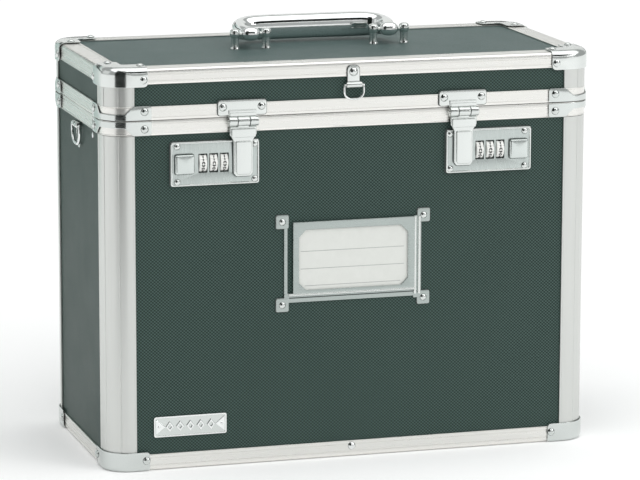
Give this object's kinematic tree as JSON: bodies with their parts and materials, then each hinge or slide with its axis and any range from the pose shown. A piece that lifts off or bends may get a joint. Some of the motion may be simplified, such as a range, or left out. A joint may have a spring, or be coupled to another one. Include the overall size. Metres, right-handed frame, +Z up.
{
  "type": "aluminium-framed hard case",
  "caption": "Tall laminate-panelled hard case in aluminium rails, with hinged top lid, folding bow handle, combination locks with hasps, label holder and strap rings.",
  "frame": {"origin": "centre of the underside, on the plane that the bottom rails stand on", "axes": "+X to the right seen from the front, +Y from the front face to the hinged back, +Z up"},
  "size_m": [0.4474, 0.2236, 0.3726],
  "materials": {
    "aluminium": "satin anodised",
    "laminate": "fine diamond emboss",
    "chrome": "polished",
    "lock_nickel": "satin nickel plate",
    "steel": "zinc plated",
    "lining": "felt",
    "paper": "paper card",
    "wheel_plastic": "satin"
  },
  "bodies": {
    "base": {"front_panel": "laminate", "back_panel": "laminate", "left_panel": "laminate", "right_panel": "laminate", "floor_panel": "laminate", "base_rim_frame": "aluminium", "bottom_frame": "aluminium", "base_lining": "lining", "label_frame": "aluminium", "label_card": "paper", "name_plate": "aluminium", "hinge_leaf_base": "steel", "hinge_pin": "steel", "corner_post_front_left": "aluminium", "bottom_bracket_front_left": "chrome", "corner_post_front_right": "aluminium", "bottom_bracket_front_right": "chrome", "corner_post_back_left": "aluminium", "bottom_bracket_back_left": "chrome", "corner_post_back_right": "aluminium", "bottom_bracket_back_right": "chrome", "lock_plate_left": "lock_nickel", "lock_box_left": "steel", "wheel_axle_left": "steel", "ring_clip_left": "chrome", "lock_plate_right": "lock_nickel", "lock_box_right": "steel", "wheel_axle_right": "steel", "ring_clip_right": "chrome"},
    "lid": {"lid_top_panel": "laminate", "lid_wall": "laminate", "lid_top_frame": "aluminium", "lid_rim_frame": "aluminium", "lid_lining": "lining", "hinge_leaf_lid": "steel", "lid_ring_clip": "chrome", "top_cap_front_left": "chrome", "top_cap_front_right": "chrome", "top_cap_back_left": "chrome", "top_cap_back_right": "chrome", "hasp_bracket_left": "chrome", "handle_mount_left": "chrome", "hasp_bracket_right": "chrome", "handle_mount_right": "chrome"},
    "handle": {"handle": "chrome"},
    "lid_ring": {"lid_ring": "chrome"},
    "stay_lower": {"stay_lower": "steel"},
    "stay_upper": {"stay_upper": "steel"},
    "hasp_left": {"hasp_left": "chrome"},
    "slider_left": {"lock_slider_left": "chrome"},
    "ring_left": {"ring_left": "chrome"},
    "wheel_left_1": {"number_wheel_left_1": "wheel_plastic"},
    "wheel_left_2": {"number_wheel_left_2": "wheel_plastic"},
    "wheel_left_3": {"number_wheel_left_3": "wheel_plastic"},
    "hasp_right": {"hasp_right": "chrome"},
    "slider_right": {"lock_slider_right": "chrome"},
    "ring_right": {"ring_right": "chrome"},
    "wheel_right_1": {"number_wheel_right_1": "wheel_plastic"},
    "wheel_right_2": {"number_wheel_right_2": "wheel_plastic"},
    "wheel_right_3": {"number_wheel_right_3": "wheel_plastic"}
  },
  "joints": [
    {"name": "lid_hinge", "type": "hinge", "parent": "base", "child": "lid", "pos_m": [0, 0.1083, 0.3057], "axis": [-1, 0, 0], "range_deg": [0, 95]},
    {"name": "handle_pivot", "type": "hinge", "parent": "lid", "child": "handle", "pos_m": [0, 0, 0.362], "axis": [1, 0, 0], "range_deg": [0, 180]},
    {"name": "lid_ring_pivot", "type": "hinge", "parent": "lid", "child": "lid_ring", "pos_m": [0, -0.1063, 0.3295], "axis": [-1, 0, 0], "range_deg": [0, 150]},
    {"name": "stay_lower_pivot", "type": "hinge", "parent": "base", "child": "stay_lower", "pos_m": [-0.2079, -0.0515, 0.287], "axis": [1, 0, 0], "range_deg": [0, 39.5]},
    {"name": "stay_upper_pivot", "type": "hinge", "parent": "lid", "child": "stay_upper", "pos_m": [-0.2059, -0.013, 0.318], "axis": [-1, 0, 0], "range_deg": [0, 27.2]},
    {"name": "hasp_left_pivot", "type": "hinge", "parent": "lid", "child": "hasp_left", "pos_m": [-0.0992, -0.1076, 0.3025], "axis": [-1, 0, 0], "range_deg": [0, 165]},
    {"name": "slider_left_slide", "type": "slide", "parent": "base", "child": "slider_left", "axis": [1, 0, 0], "range_m": [0, 0.0035], "stiffness_N_per_m": 300},
    {"name": "ring_left_pivot", "type": "hinge", "parent": "base", "child": "ring_left", "pos_m": [-0.2212, 0, 0.2886], "axis": [0, 1, 0], "range_deg": [0, 150]},
    {"name": "wheel_left_1_spin", "type": "hinge", "parent": "base", "child": "wheel_left_1", "pos_m": [-0.1152, -0.0986, 0.2672], "axis": [1, 0, 0], "continuous": true},
    {"name": "wheel_left_2_spin", "type": "hinge", "parent": "base", "child": "wheel_left_2", "pos_m": [-0.1246, -0.0986, 0.2672], "axis": [1, 0, 0], "continuous": true},
    {"name": "wheel_left_3_spin", "type": "hinge", "parent": "base", "child": "wheel_left_3", "pos_m": [-0.134, -0.0986, 0.2672], "axis": [1, 0, 0], "continuous": true},
    {"name": "hasp_right_pivot", "type": "hinge", "parent": "lid", "child": "hasp_right", "pos_m": [0.0992, -0.1076, 0.3025], "axis": [-1, 0, 0], "range_deg": [0, 165]},
    {"name": "slider_right_slide", "type": "slide", "parent": "base", "child": "slider_right", "axis": [-1, 0, 0], "range_m": [0, 0.0035], "stiffness_N_per_m": 300},
    {"name": "ring_right_pivot", "type": "hinge", "parent": "base", "child": "ring_right", "pos_m": [0.2212, 0, 0.2886], "axis": [0, -1, 0], "range_deg": [0, 150]},
    {"name": "wheel_right_1_spin", "type": "hinge", "parent": "base", "child": "wheel_right_1", "pos_m": [0.1152, -0.0986, 0.2672], "axis": [1, 0, 0], "continuous": true},
    {"name": "wheel_right_2_spin", "type": "hinge", "parent": "base", "child": "wheel_right_2", "pos_m": [0.1246, -0.0986, 0.2672], "axis": [1, 0, 0], "continuous": true},
    {"name": "wheel_right_3_spin", "type": "hinge", "parent": "base", "child": "wheel_right_3", "pos_m": [0.134, -0.0986, 0.2672], "axis": [1, 0, 0], "continuous": true}
  ],
  "couplings": [
    {"joint": "stay_lower_pivot", "follows": "lid_hinge", "ratio": 0.41158},
    {"joint": "stay_upper_pivot", "follows": "lid_hinge", "ratio": 0.282}
  ]
}
